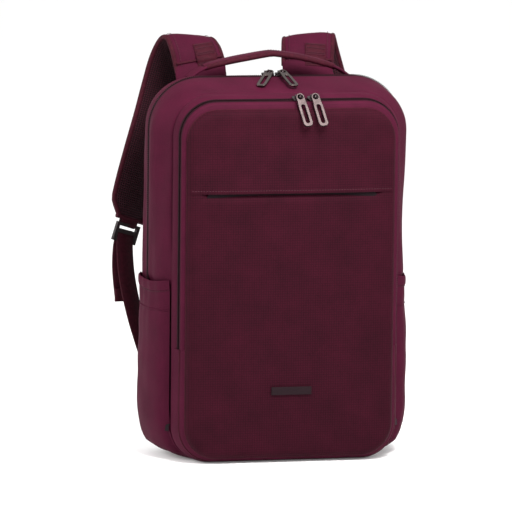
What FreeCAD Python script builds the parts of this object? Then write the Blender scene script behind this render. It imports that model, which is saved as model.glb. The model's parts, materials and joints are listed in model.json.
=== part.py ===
import FreeCAD, Part
import math
import os

# Travel backpack, in millimetres. X runs across the pack (+X is the viewer's right when facing the front
# panel), Y runs from the front panel (-Y) to the wearer's side (+Y), and Z is up from the ground.
# The origin is the centre of the base, on the ground.

V = FreeCAD.Vector
UP = V(0, 0, 1)

# Each outline of the pack is a rounded rectangle in a plane of constant y:
# (y, half width, lowest z, highest z, top corner radius, bottom corner radius).
face_crown = (-77.0, 104.0, 20.0, 383.0, 24.0, 26.0)
face_edge = (-72.0, 115.0, 10.0, 393.0, 31.0, 33.0)
panel_rim = (-65.0, 119.0, 6.0, 397.0, 35.0, 36.0)
front_zip = (-59.0, 124.0, 3.0, 405.0, 40.0, 38.0)
# The four in the middle reach below the ground line, and are cut off there to leave a flat base.
pleat_seam = (-38.0, 129.0, -0.6, 412.0, 45.0, 40.0)
gusset_swell = (-14.0, 144.5, -0.6, 420.5, 54.0, 44.0)
main_zip = (12.0, 146.0, -0.6, 427.0, 58.0, 46.0)
rear_middle = (40.0, 145.0, -0.6, 425.0, 58.0, 50.0)
rear_seam = (62.0, 134.0, 8.0, 419.0, 50.0, 50.0)
back_face = (69.0, 127.0, 14.0, 413.0, 46.0, 46.0)

fabric = 2.4            # wall of lined, lightly padded polyester
panel_foam = 4.0        # wall of the padded front panel
zip_slot = 2.0          # slot between the two rows of coils, for the sliders' necks
tape = 2.6              # width of each row of coils with its tape, along y
tape_wall = 1.8
body_gap = 1.0          # clearance between pieces that move apart
side_inset = 6.0        # how far the wall behind each side pocket is set in

hinge_y = -79.0         # both folds of the front turn about this line, along x
hinge_z = 129.0
pocket_mouth_z = 304.0  # slit of the slip pocket across the front panel
hem_z = 204.0           # top edge of the side pockets
base_z = 34.0           # where the base panel meets the lower sides

strap_width = 57.0
strap_thick = 11.0
mesh_thick = 3.0
webbing_width = 22.0
webbing_thick = 1.8

# Centre line of a shoulder pad, from the yoke over the arch and down to the buckle: (y, z), then how far
# out from the middle plane the left pad stands and how far out the right one does. The left strap leans out.
strap_line = [
    (85, 430, 70, 55), (93, 450, 74, 57), (107, 462, 79, 61), (122, 457, 84, 66), (134, 437, 91, 74),
    (140, 405, 99, 85), (142, 370, 108, 98), (141, 330, 120, 113), (137, 290, 132, 128), (130, 252, 142, 140),
]
strap_yaw_end = 22.0    # how far the pad has turned to face the wearer at its lower end, in degrees
webbing_line = [V(-150, 125, 222), V(-147, 115, 188), V(-140, 99, 143), V(-128, 82, 96)]
tail_line = [V(-152, 130, 222), V(-152, 130, 196), V(-149, 127, 160)]

badge_size = (46.0, 1.2, 9.0)
badge_z = 78.0

slider_length = 14.0
main_sliders = (-9.5, 6.0)
front_sliders = (9.5, 27.0)
pull_length = 37.0

handle_y = 48.0
handle_line = [
    V(-75, handle_y, 434), V(-62, handle_y, 438), V(-32, handle_y, 444), V(2, handle_y, 448),
    V(34, handle_y, 445), V(63, handle_y, 438), V(75, handle_y, 434),
]

nodes = {}


def station(a, b, y):
    """The outline at y, between outlines a and b."""
    t = (y - a[0]) / (b[0] - a[0])
    return tuple(p + (q - p) * t for p, q in zip(a, b))


def inset(outline, t):
    """The outline drawn in by a wall of t, in the same plane."""
    y, hw, low, high, top_r, bottom_r = outline
    return (y, hw - t, low + t, high - t, max(top_r - t, 3.0), max(bottom_r - t, 3.0))


def at_y(outline, y):
    return (y,) + tuple(outline[1:])


def loop(outline):
    """Closed wire of one outline: four straight runs and four quarter arcs."""
    y, hw, low, high, top_r, bottom_r = outline
    corners = [
        (hw - bottom_r, low + bottom_r, bottom_r, -90.0), (hw - top_r, high - top_r, top_r, 0.0),
        (-hw + top_r, high - top_r, top_r, 90.0), (-hw + bottom_r, low + bottom_r, bottom_r, 180.0),
    ]
    arcs = []
    for cx, cz, r, start in corners:
        turn = [math.radians(start + step) for step in (0.0, 45.0, 90.0)]
        arcs.append([V(cx + r * math.cos(a), y, cz + r * math.sin(a)) for a in turn])
    edges = []
    for i, (first, middle, last) in enumerate(arcs):
        edges.append(Part.Arc(first, middle, last).toShape())
        edges.append(Part.makeLine(last, arcs[(i + 1) % 4][0]))
    return Part.Wire(edges)


def solid_between(outlines):
    return Part.makeLoft([loop(o) for o in outlines], True, True)


def band(outlines, wall):
    """Hollow band of fabric that follows the outlines, open at both ends."""
    return solid_between(outlines).cut(solid_between([inset(o, wall) for o in outlines]))


def dish(outlines, wall):
    """Shell that is closed at its first outline and open at its last."""
    inner = [inset(o, wall) for o in outlines]
    inner[0] = at_y(inner[0], inner[0][0] + wall)
    return solid_between(outlines).cut(solid_between(inner))


def block(x0, x1, y0, y1, z0, z1):
    return Part.makeBox(x1 - x0, y1 - y0, z1 - z0, V(x0, y0, z0))


def above(z):
    return block(-300, 300, -200, 200, z, 700)


def below(z):
    return block(-300, 300, -200, 200, -100, z)


def half(side):
    """Everything on one side of the middle plane: side is -1 for left and 1 for right."""
    return block(-300, 0, -200, 200, -100, 700) if side < 0 else block(0, 300, -200, 200, -100, 700)


def mirrored(shape, side):
    """Left-hand shapes are drawn; the right-hand ones are their mirror images."""
    return shape if side < 0 else shape.mirror(V(0, 0, 0), V(1, 0, 0))


def ribbon(points, widths, thicks, across):
    """Strip of fabric along points: each cross-section is a rectangle square to the run.

    across gives the width direction at each point, and a thick may be a pair
    (depth on the outer side, depth on the inner side) measured from the line."""
    sections = []
    for i, p in enumerate(points):
        ahead = points[min(i + 1, len(points) - 1)]
        behind = points[max(i - 1, 0)]
        run = (ahead - behind).normalize()
        wide = across[i] - run * across[i].dot(run)
        wide.normalize()
        outward = run.cross(wide)
        outward.normalize()
        outer, inner = thicks[i]
        half_wide = wide * (widths[i] / 2.0)
        ring = [p - half_wide + outward * outer, p + half_wide + outward * outer,
                p + half_wide - outward * inner, p - half_wide - outward * inner]
        sections.append(ring)
    faces = [flat_face(sections[0][::-1]), flat_face(sections[-1])]
    for near, far in zip(sections[:-1], sections[1:]):
        for k in range(4):
            a, b, c, d = near[k], near[(k + 1) % 4], far[(k + 1) % 4], far[k]
            if k == 0:
                faces += [flat_face([a, b, d]), flat_face([b, c, d])]
            else:
                faces += [flat_face([a, b, c]), flat_face([a, c, d])]
    return Part.makeSolid(Part.makeShell(faces))


def flat_face(corners):
    return Part.Face(Part.makePolygon(list(corners) + [corners[0]]))


def make_front():
    """Front panel in three pieces, its rim, its piping and its closed zip edge."""
    shell = dish([face_crown, face_edge, panel_rim], panel_foam)
    nodes["front_panel_upper"] = shell.common(above(pocket_mouth_z))
    flap_low = hinge_z + body_gap
    nodes["front_panel_lower"] = shell.common(above(flap_low)).common(below(pocket_mouth_z - 0.8))
    nodes["front_panel_base"] = shell.common(below(hinge_z - body_gap))
    rim = band([panel_rim, front_zip], fabric)
    nodes["rim_gusset"] = rim.common(above(flap_low))
    row_start = front_zip[0]
    front_row = band([front_zip, station(front_zip, pleat_seam, row_start + tape)], tape_wall)
    nodes["front_zip_front_tape"] = front_row.common(above(flap_low))
    lining_y = face_crown[0] + panel_foam + 0.4
    lining = Part.makeBox(196.0, 1.4, 150.0, V(-98.0, lining_y, pocket_mouth_z - 146.0))
    nodes["slip_pocket_lining"] = lining
    badge = Part.makeBox(badge_size[0], badge_size[1], badge_size[2],
                         V(-badge_size[0] / 2.0, face_crown[0] - badge_size[1], badge_z))
    nodes["badge"] = badge.makeFillet(0.4, badge.Edges)


def make_middle():
    """The section between the two zips: front gusset, main gusset, divider and organiser."""
    row_start = front_zip[0] + tape + zip_slot
    row_end = row_start + tape
    flap_low = hinge_z + body_gap
    a = station(front_zip, pleat_seam, row_start)
    b = station(front_zip, pleat_seam, row_end)
    nodes["front_zip_rear_tape"] = band([a, b], tape_wall).common(above(flap_low))
    nodes["front_gusset"] = band([b, pleat_seam], fabric).common(above(flap_low))
    main_row = main_zip[0] - zip_slot / 2.0 - tape
    c = station(gusset_swell, main_zip, main_row)
    d = station(gusset_swell, main_zip, main_row + tape)
    gusset_low = hem_z + 2.0 + body_gap
    nodes["main_gusset"] = band([pleat_seam, gusset_swell, c], fabric).common(above(gusset_low))
    nodes["main_zip_front_tape"] = band([c, d], tape_wall).common(above(gusset_low))
    divider_y = pleat_seam[0] - 2.0
    sheet = inset(station(front_zip, pleat_seam, divider_y), fabric)
    divider = solid_between([sheet, at_y(inset(pleat_seam, fabric), pleat_seam[0])])
    nodes["divider_panel"] = divider.common(above(flap_low))
    pocket = block(-92.0, 92.0, divider_y - 7.0, divider_y, 150.0, 285.0)
    hollow = block(-90.5, 90.5, divider_y - 5.6, divider_y + 1.0, 151.5, 290.0)
    nodes["organizer_pocket"] = pocket.cut(hollow)


def make_shell():
    """The part of the bag that stays put: rear gusset, back, base, lower sides and lower front."""
    row_start = main_zip[0] + zip_slot / 2.0
    e = station(main_zip, rear_middle, row_start)
    f = station(main_zip, rear_middle, row_start + tape)
    nodes["main_zip_rear_tape"] = band([e, f], tape_wall).common(above(hem_z + 3.0))
    gusset = band([f, rear_middle, rear_seam], fabric)
    nodes["rear_gusset"] = gusset.common(above(0.0))
    low_a = pleat_seam[0] + body_gap
    low_edge = station(pleat_seam, gusset_swell, low_a)
    tub = band([low_edge, gusset_swell, main_zip, f], fabric)
    nodes["base_panel"] = tub.common(below(base_z)).common(above(0.0))
    walls = [inset(o, side_inset) for o in (low_edge, gusset_swell, main_zip, f)]
    wall = band(walls, fabric).common(above(base_z)).common(below(hem_z + 2.0))
    lower_front = [panel_rim, front_zip, pleat_seam, low_edge]
    front_tub = band(lower_front, fabric).common(below(hinge_z - body_gap)).common(above(0.0))
    for side, word in ((-1, "left"), (1, "right")):
        nodes["lower_side_" + word] = wall.common(half(side))
        nodes["lower_gusset_" + word] = front_tub.common(half(side))
    back = [rear_seam, back_face]
    nodes["back_panel"] = solid_between(back)
    sheet_y = rear_seam[0] - 3.0
    sheet = inset(rear_seam, 8.0)
    nodes["frame_sheet"] = solid_between([at_y(sheet, sheet_y), at_y(sheet, sheet_y + 1.6)])
    sleeve_y = 45.0
    sleeve = block(-124.0, 124.0, sleeve_y, sheet_y - 0.2, 30.0, 300.0)
    nodes["laptop_sleeve"] = sleeve.cut(block(-121.0, 121.0, sleeve_y + 2.4, sheet_y + 5.0, 33.0, 310.0))


def make_back_pads():
    """Two upright air-channel pads and a lumbar pad, proud of the back panel."""
    proud = 9.0
    y = back_face[0]
    for side, word in ((-1, "left"), (1, "right")):
        pad = block(-98.0, -18.0, y, y + proud, 138.0, 372.0)
        upright = [e for e in pad.Edges if abs(e.tangentAt(e.FirstParameter).y) > 0.9]
        nodes["back_pad_" + word] = mirrored(pad.makeFillet(18.0, upright), side)
    lumbar = block(-98.0, 98.0, y, y + proud + 2.0, 40.0, 120.0)
    upright = [e for e in lumbar.Edges if abs(e.tangentAt(e.FirstParameter).y) > 0.9]
    nodes["lumbar_pad"] = lumbar.makeFillet(22.0, upright)


def pocket_plan(z, draw_in, wall, deeper):
    """Horizontal section of the left side pocket, whose open side faces the bag."""
    front = [(-130.6, -36.0), (-142.0, -30.0), (-149.5, -12.0), (-153.0, 12.0), (-152.0, 34.0), (-145.6, 46.0)]
    plan = []
    for i, (x, y) in enumerate(front):
        slack = wall if 0 < i < len(front) - 1 else 0.0
        lean_in = wall if i == 0 else (-wall if i == len(front) - 1 else 0.0)
        plan.append(V(x + draw_in + slack, y + lean_in, z))
    open_side = -90.0 if deeper else -100.0
    ring = plan + [V(open_side, plan[-1].y, z), V(open_side, plan[0].y, z)]
    return Part.makePolygon(ring + [ring[0]])


def make_pockets():
    """Stretch side pockets: outer wall, front and rear returns and a closed foot, with a bound hem."""
    levels = [(7.0, 20.0), (16.0, 9.0), (34.0, 2.5), (60.0, 0.0)]
    hem_low = hem_z - 11.0
    bag = solid_between([inset(o, -0.3) for o in (pleat_seam, gusset_swell, main_zip, rear_middle, rear_seam)])
    for side, word in ((-1, "left"), (1, "right")):
        outer = [pocket_plan(z, d, 0.0, False) for z, d in levels]
        inner = [pocket_plan(z + 1.6, d, 1.6, True) for z, d in levels]
        foot = Part.makeLoft(outer, True, True).cut(Part.makeLoft(inner, True, True))
        body = foot.common(below(60.0))
        top_z = 60.0
        wall = Part.makeLoft([pocket_plan(top_z, 0, 0, False), pocket_plan(hem_low, 0, 0, False)], True, True)
        void = Part.makeLoft([pocket_plan(top_z, 0, 1.6, True), pocket_plan(hem_low + 1, 0, 1.6, True)], True, True)
        body = body.fuse(wall.cut(void)).removeSplitter()
        inside = Part.makeLoft([pocket_plan(0, 0, 1.6, True), pocket_plan(300, 0, 1.6, True)], True, True)
        hem = Part.makeLoft([pocket_plan(hem_low, -0.6, 0, False), pocket_plan(hem_z, -0.6, 0, False)], True, True)
        nodes["side_pocket_" + word] = mirrored(body.cut(bag), side)
        nodes["pocket_hem_" + word] = mirrored(hem.cut(inside).cut(bag), side)


def slider_body(x, y, z, slope):
    """Zip slider: crowned top plate, neck through the slot, and a front lug under the front row.

    slope is how steeply the zip climbs towards the wearer's side, in degrees."""
    reach = slider_length / 2.0
    plate = block(x - reach, x + reach, y - 3.8, y + 4.6, z + 0.8, z + 2.6)
    plate = plate.makeFillet(2.6, [e for e in plate.Edges if abs(e.tangentAt(e.FirstParameter).z) > 0.9])
    neck = block(x - 3.0, x + 3.0, y - 0.5, y + 0.5, z - 3.0, z + 1.0)
    lug = block(x - 4.5, x + 4.5, y - 3.4, y + 0.5, z - 3.8, z - 2.8)
    bridge = block(x - 4.0, x + 4.0, y - 2.0, y + 2.0, z + 2.4, z + 5.4)
    tunnel = block(x - 2.2, x + 2.2, y - 3.0, y + 3.0, z + 2.7, z + 4.3)
    slider = plate.fuse([neck, lug, bridge.cut(tunnel)]).removeSplitter()
    slider.rotate(V(x, y, z), V(1, 0, 0), slope)
    return slider


def pull_tab():
    """Flat metal pull, drawn hanging along -Z from its eye at the origin, with a long slot."""
    slot_low = 6.0 - pull_length
    slot_high = -12.0
    plate = block(-5.2, 5.2, -0.9, 0.9, -pull_length, -6.0)
    upright = [e for e in plate.Edges if abs(e.tangentAt(e.FirstParameter).y) > 0.9]
    plate = plate.makeFillet(4.6, upright)
    shank = block(-3.4, 3.4, -0.9, 0.9, -9.0, 0.0)
    eye = Part.makeCylinder(4.4, 1.8, V(0, -0.9, 0), V(0, 1, 0))
    hole = Part.makeCylinder(2.4, 4.0, V(0, -2.0, 0), V(0, 1, 0))
    slot = block(-1.7, 1.7, -2.0, 2.0, slot_low, slot_high)
    ends = [Part.makeCylinder(1.7, 4.0, V(0, -2.0, z), V(0, 1, 0)) for z in (slot_low, slot_high)]
    return plate.fuse([shank, eye]).removeSplitter().cut(hole).cut(slot.fuse(ends))


def hang_pull(x, y, z, lean, tilt, splay):
    """Place a pull with its eye at (x, y, z), turned in its own plane, then forward, then about Z."""
    pull = pull_tab()
    pull.rotate(V(0, 0, 0), V(0, 1, 0), lean)
    pull.rotate(V(0, 0, 0), V(1, 0, 0), tilt)
    pull.rotate(V(0, 0, 0), UP, splay)
    pull.translate(V(x, y, z))
    return pull


def make_zips():
    """Sliders and pulls at the top of both zips, closed and meeting."""
    main_y = main_zip[0]
    main_z = main_zip[3]
    for x, word, splay in ((main_sliders[0], "left", -30.0), (main_sliders[1], "right", 9.0)):
        nodes["main_slider_" + word] = slider_body(x, main_y, main_z + 0.3, 7.0)
        nodes["main_pull_" + word] = hang_pull(x, main_y - 8.4, main_z + 4.9, 0.0, -70.0, splay)
    front_y = front_zip[0] + tape + zip_slot / 2.0
    front_z = station(front_zip, pleat_seam, front_y)[3]
    for x, word in ((front_sliders[0], "left"), (front_sliders[1], "right")):
        nodes["front_slider_" + word] = slider_body(x, front_y, front_z, 18.4)
        nodes["front_pull_" + word] = hang_pull(x, front_y - 8.8, front_z + 3.8, -9.0, -33.0, 0.0)


def make_handle():
    """Folded and padded haul handle, held by a sewn tab at each end."""
    widths = [8.0, 20.0, 24.0, 24.0, 24.0, 20.0, 8.0]
    thicks = [(2.0, 2.0)] + [(4.0, 4.0)] * 5 + [(2.0, 2.0)]
    nodes["haul_handle"] = ribbon(handle_line, widths, thicks, [V(0, 1, 0)] * len(handle_line))
    for side, word in ((-1, "left"), (1, "right")):
        tab = block(-94.0, -77.0, handle_y - 11.0, handle_y + 11.0, 417.0, 436.0)
        bag = solid_between([main_zip, rear_middle, rear_seam])
        nodes["handle_tab_" + word] = mirrored(tab.cut(bag), side)


def make_strap(side, word):
    """One shoulder strap: pad, mesh face, keepers, buckle and webbing, with its anchors on the bag."""
    count = len(strap_line)
    line = [V(-(left if side < 0 else right), y, z) for y, z, left, right in strap_line]
    across = []
    for i in range(count):
        yaw = math.radians(strap_yaw_end * i / (count - 1))
        across.append(V(-math.cos(yaw), -math.sin(yaw), 0))
    core = strap_thick - mesh_thick
    pad = ribbon(line, [strap_width] * count, [(core / 2, core / 2)] * count, across)
    mesh = ribbon(line, [strap_width] * count, [(-core / 2, core / 2 + mesh_thick)] * count, across)
    nodes["shoulder_pad_" + word] = mirrored(pad, side)
    nodes["strap_mesh_" + word] = mirrored(mesh, side)
    reach = core / 2
    keepers = ribbon(line[0:3], [24.0] * 3, [(reach + 2.4, -reach - 0.5)] * 3, across[0:3])
    nodes["strap_keeper_" + word] = mirrored(keepers, side)
    nodes["ladder_lock_" + word] = mirrored(ladder_lock(), side)
    flat = V(-math.cos(math.radians(strap_yaw_end)), -math.sin(math.radians(strap_yaw_end)), 0)
    thin = [(webbing_thick / 2, webbing_thick / 2)]
    adjuster = ribbon(webbing_line, [webbing_width] * 4, thin * 4, [flat] * 4)
    nodes["adjuster_webbing_" + word] = mirrored(adjuster, side)
    tail = ribbon(tail_line, [webbing_width] * 3, thin * 3, [flat] * 3)
    nodes["webbing_tail_" + word] = mirrored(tail, side)
    wing = ribbon([V(-127.0, 80.6, 92.0), V(-122.0, 70.0, 72.0), V(-114.0, 62.0, 50.0)],
                  [26.0, 34.0, 46.0], [(1.2, 1.2)] * 3, [flat, V(-1, 0, 0), V(-1, 0, 0)])
    bag = solid_between([rear_middle, rear_seam, back_face])
    nodes["webbing_wing_" + word] = mirrored(wing.cut(bag), side)
    profile = [(62.0, 376.0), (75.0, 376.0), (91.0, 400.0), (91.0, 416.0), (79.0, 419.0), (62.0, 408.0)]
    section = Part.makePolygon([V(-98.0, y, z) for y, z in profile + profile[:1]])
    yoke = Part.Face(section).extrude(V(64.0, 0, 0))
    nodes["strap_yoke_" + word] = mirrored(yoke.cut(solid_between([rear_seam, back_face])), side)


def ladder_lock():
    """Moulded buckle with two crossbars, drawn flat and then hung at the foot of the pad."""
    frame = block(-16.0, 16.0, -2.0, 2.0, -22.0, 0.0)
    upper = block(-12.0, 12.0, -3.0, 3.0, -8.0, -3.6)
    lower = block(-12.0, 12.0, -3.0, 3.0, -18.4, -12.0)
    lock = frame.cut(upper).cut(lower)
    lock.rotate(V(0, 0, 0), V(1, 0, 0), 6.0)
    lock.rotate(V(0, 0, 0), V(0, 1, 0), 16.0)
    lock.rotate(V(0, 0, 0), UP, strap_yaw_end)
    lock.translate(V(-143.0, 128.0, 248.0))
    return lock


os.makedirs("parts", exist_ok=True)
make_front()
make_middle()
make_shell()
make_back_pads()
make_pockets()
make_zips()
make_handle()
for strap_side, strap_word in ((-1, "left"), (1, "right")):
    make_strap(strap_side, strap_word)
for name, shape in nodes.items():
    if not shape.isValid() or shape.Volume < 1.0:
        print("check", name, shape.isValid(), round(shape.Volume, 1))
    shape.exportStep("parts/" + name + ".step")
print(len(nodes), "nodes")
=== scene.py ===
import bpy
import json
import math
from mathutils import Matrix, Quaternion, Vector, noise


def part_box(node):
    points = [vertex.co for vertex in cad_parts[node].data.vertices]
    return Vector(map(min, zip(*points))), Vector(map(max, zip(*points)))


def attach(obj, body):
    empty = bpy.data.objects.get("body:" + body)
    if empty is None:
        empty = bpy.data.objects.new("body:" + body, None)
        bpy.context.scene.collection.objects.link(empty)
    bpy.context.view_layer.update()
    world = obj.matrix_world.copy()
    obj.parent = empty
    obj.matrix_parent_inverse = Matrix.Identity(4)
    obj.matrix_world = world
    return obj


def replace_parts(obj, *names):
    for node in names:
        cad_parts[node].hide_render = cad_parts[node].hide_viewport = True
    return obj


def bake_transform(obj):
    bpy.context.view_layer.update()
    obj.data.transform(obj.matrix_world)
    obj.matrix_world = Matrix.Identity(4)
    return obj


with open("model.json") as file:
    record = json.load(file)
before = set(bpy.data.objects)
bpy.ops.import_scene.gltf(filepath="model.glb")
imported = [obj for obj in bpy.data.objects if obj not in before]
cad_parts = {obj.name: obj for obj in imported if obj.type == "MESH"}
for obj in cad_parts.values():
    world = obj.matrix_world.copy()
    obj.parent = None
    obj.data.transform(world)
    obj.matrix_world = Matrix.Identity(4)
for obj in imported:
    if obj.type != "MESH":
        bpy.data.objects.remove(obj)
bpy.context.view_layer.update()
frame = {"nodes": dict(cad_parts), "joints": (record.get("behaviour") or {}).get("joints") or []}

scene = bpy.context.scene
mm = 0.001


def toLinear(hexColour):
    channels = [int(hexColour[i:i + 2], 16) / 255.0 for i in (1, 3, 5)]
    return tuple(c / 12.92 if c <= 0.04045 else ((c + 0.055) / 1.055) ** 2.4 for c in channels) + (1.0,)


def ease(t):
    t = max(0.0, min(1.0, t))
    return t * t * (3.0 - 2.0 * t)


def lowest(node, axis):
    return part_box(node)[0][axis]


def highest(node, axis):
    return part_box(node)[1][axis]


def blendFour(a, b, c, d, f):
    # smooth step from b to c, led by their neighbours a and d
    square = 2 * a - 5 * b + 4 * c - d
    cube = 3 * b - 3 * c + d - a
    return 0.5 * (2 * b + (c - a) * f + square * f * f + cube * f ** 3)


def evenly(count, start=0.0, end=1.0):
    return [start + (end - start) * i / (count - 1) for i in range(count)]


def curvePoint(points, t):
    # a smooth curve through given points, t from 0 to 1
    spans = len(points) - 1
    place = min(max(t, 0.0), 1.0) * spans
    i = min(int(place), spans - 1)
    f = place - i
    a, b, c, d = [Vector(points[min(max(k, 0), spans)]) for k in (i - 1, i, i + 1, i + 2)]
    return blendFour(a, b, c, d, f)


def smoothPath(points, count):
    return [curvePoint(points, t) for t in evenly(count)]


def wobble(p, size, amount):
    # slow unevenness of sewn cloth, size in metres
    return amount * noise.noise(Vector(p) / size)


# Materials, each one named for the stuff it is made of
def put(tree, kind, inputs=None, **settings):
    n = tree.nodes.new(kind)
    for key, value in settings.items():
        setattr(n, key, value)
    for key, value in (inputs or {}).items():
        if isinstance(value, bpy.types.NodeSocket):
            tree.links.new(value, n.inputs[key])
        else:
            n.inputs[key].default_value = value
    return n


def startMaterial(name, roughness, metallic=0.0):
    mat = bpy.data.materials.new(name)
    mat.use_nodes = True
    tree = mat.node_tree
    bsdf = tree.nodes["Principled BSDF"]
    bsdf.inputs["Roughness"].default_value = roughness
    bsdf.inputs["Metallic"].default_value = metallic
    return mat, tree, bsdf


def calc(tree, operation, a, b=0.0, c=0.0):
    return put(tree, "ShaderNodeMath", {0: a, 1: b, 2: c}, operation=operation).outputs[0]


def axesOf(tree, source):
    # cloth cut flat carries its own UV in metres; remeshed pads use the object's own X and Z
    if source == "UV":
        place = put(tree, "ShaderNodeUVMap", uv_map="cloth").outputs["UV"]
    else:
        place = put(tree, "ShaderNodeTexCoord").outputs["Object"]
    parts = put(tree, "ShaderNodeSeparateXYZ", {0: place}).outputs
    return place, parts[0], parts[1 if source == "UV" else 2]


def speckle(tree, place, scale, detail=2.0, roughness=0.5):
    noiseInputs = {"Vector": place, "Scale": scale, "Detail": detail, "Roughness": roughness}
    return put(tree, "ShaderNodeTexNoise", noiseInputs).outputs[0]


def threadLine(tree, coordinate, pitch, width):
    # one line in every pitch metres, as a soft ridge from 0 to 1
    part = calc(tree, "FRACT", calc(tree, "MULTIPLY", coordinate, 1.0 / pitch))
    gap = calc(tree, "ABSOLUTE", calc(tree, "SUBTRACT", part, 0.5))
    return put(tree, "ShaderNodeMapRange", {0: gap, 1: 0.5 - width, 2: 0.5, 3: 0.0, 4: 1.0}).outputs[0]


def wave(tree, coordinate, pitch):
    return calc(tree, "SINE", calc(tree, "MULTIPLY", coordinate, 2.0 * math.pi / pitch))


def dye(tree, bsdf, look, tone, relief, strength, depth):
    # colour runs from deep to lit with the tone, and the relief raises the surface
    tint = put(tree, "ShaderNodeMix", {0: tone, 6: toLinear(look["deep"]), 7: toLinear(look["lit"])},
               data_type="RGBA")
    bump = put(tree, "ShaderNodeBump", {"Strength": strength, "Distance": depth, "Height": relief})
    tree.links.new(tint.outputs[2], bsdf.inputs["Base Color"])
    tree.links.new(bump.outputs[0], bsdf.inputs["Normal"])


def surface(bsdf, specular, sheen=0.0, sheenTint=None):
    bsdf.inputs["Specular IOR Level"].default_value = specular
    bsdf.inputs["Sheen Weight"].default_value = sheen
    if sheenTint:
        bsdf.inputs["Sheen Tint"].default_value = toLinear(sheenTint)


def wovenPolyester(name, look):
    # dyed polyester: matt, with a thin sheen at grazing angles and a grid of thicker threads
    mat, tree, bsdf = startMaterial(name, look["roughness"])
    place, across, along = axesOf(tree, "UV")
    warp = threadLine(tree, across, look["gridPitch"], look["gridWidth"])
    weft = threadLine(tree, along, look["gridPitch"], look["gridWidth"])
    grid = calc(tree, "MULTIPLY", calc(tree, "MAXIMUM", warp, weft), look["gridShade"])
    threads = calc(tree, "MULTIPLY", wave(tree, across, look["threadPitch"]),
                   wave(tree, along, look["threadPitch"]))
    patches = speckle(tree, place, 26.0, 4.0, 0.6)
    slubs = speckle(tree, place, 420.0)
    tone = calc(tree, "SUBTRACT", calc(tree, "MULTIPLY_ADD", patches, 0.55, 0.18), grid)
    tone = calc(tree, "ADD", tone, calc(tree, "MULTIPLY", threads, 0.10))
    tone = calc(tree, "ADD", tone, calc(tree, "MULTIPLY", slubs, 0.18))
    dye(tree, bsdf, look, tone, calc(tree, "MULTIPLY_ADD", threads, 0.35, grid), look["bump"], 0.4 * mm)
    surface(bsdf, 0.04, look["sheen"], look["sheenTint"])
    bsdf.inputs["Sheen Roughness"].default_value = 0.45
    return mat


def spacerMesh(name, look):
    # knitted spacer mesh: rows of small staggered holes between raised, slightly shiny yarns; the holes get
    # painted shade, dark as if light did not reach into them
    mat, tree, bsdf = startMaterial(name, 0.7)
    place, across, along = axesOf(tree, look["source"])
    first = wave(tree, calc(tree, "ADD", across, along), look["pitch"])
    second = wave(tree, calc(tree, "SUBTRACT", across, along), look["pitch"])
    lattice = calc(tree, "MULTIPLY", first, second)
    # one mask raises the yarns and paints the holes dark: painted shade in the holes
    yarnHeightAndHoleShade = put(tree, "ShaderNodeMapRange", {0: lattice, 1: -0.25, 2: 0.45, 3: 1.0, 4: 0.0}).outputs[0]
    fuzz = speckle(tree, place, 900.0)
    dye(tree, bsdf, look, calc(tree, "MULTIPLY", yarnHeightAndHoleShade, fuzz), yarnHeightAndHoleShade, 0.8, 0.9 * mm)
    surface(bsdf, 0.1, 0.05, look["lit"])
    return mat


def wovenTape(name, look):
    # binding tape and webbing: close ribs across the width, a little shinier than the panels
    mat, tree, bsdf = startMaterial(name, 0.6)
    place, across, along = axesOf(tree, "UV")
    weave = calc(tree, "MULTIPLY", wave(tree, across, look["ribPitch"]),
                 wave(tree, along, look["ribPitch"] * 1.7))
    tone = calc(tree, "MULTIPLY_ADD", weave, 0.25, speckle(tree, place, 300.0, 3.0))
    dye(tree, bsdf, look, tone, weave, 0.5, 0.3 * mm)
    surface(bsdf, 0.06, 0.02, look["lit"])
    return mat


def hardStuff(name, look, metallic, grainScale, cloudScale, detail, relief):
    # cast or moulded parts: an even colour with slow clouds, and a fine grain that softens the highlights
    mat, tree, bsdf = startMaterial(name, look["roughness"], metallic)
    place = put(tree, "ShaderNodeTexCoord").outputs["Object"]
    grain = speckle(tree, place, grainScale, detail)
    dye(tree, bsdf, look, speckle(tree, place, cloudScale), grain, relief, 0.2 * mm)
    return mat, tree, bsdf, grain


def castMetal(name, look):
    # die-cast zinc with a thin plating: tumbled smooth, so highlights are soft and slightly uneven
    mat, tree, bsdf, grain = hardStuff(name, look, 1.0, 900.0, 120.0, 4.0, 0.12)
    rough = {0: grain, 3: look["roughness"] - 0.06, 4: look["roughness"] + 0.12}
    tree.links.new(put(tree, "ShaderNodeMapRange", rough).outputs[0], bsdf.inputs["Roughness"])
    return mat


def mouldedPlastic(name, look):
    # moulded nylon or acetal: even and slightly waxy, with a fine spark-eroded grain
    mat, tree, bsdf, grain = hardStuff(name, look, 0.0, 1500.0, 60.0, 3.0, 0.25)
    surface(bsdf, look["specular"])
    return mat


wine = {"deep": "#110307", "lit": "#350a19", "sheenTint": "#9a2f52"}
# threads are drawn about three times as coarse as real ones
panelCloth = wovenPolyester("woven polyester, small grid", dict(
    wine, roughness=0.74, gridPitch=2.7 * mm, gridWidth=0.17, gridShade=0.42,
    threadPitch=1.35 * mm, bump=0.55, sheen=0.03))
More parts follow.
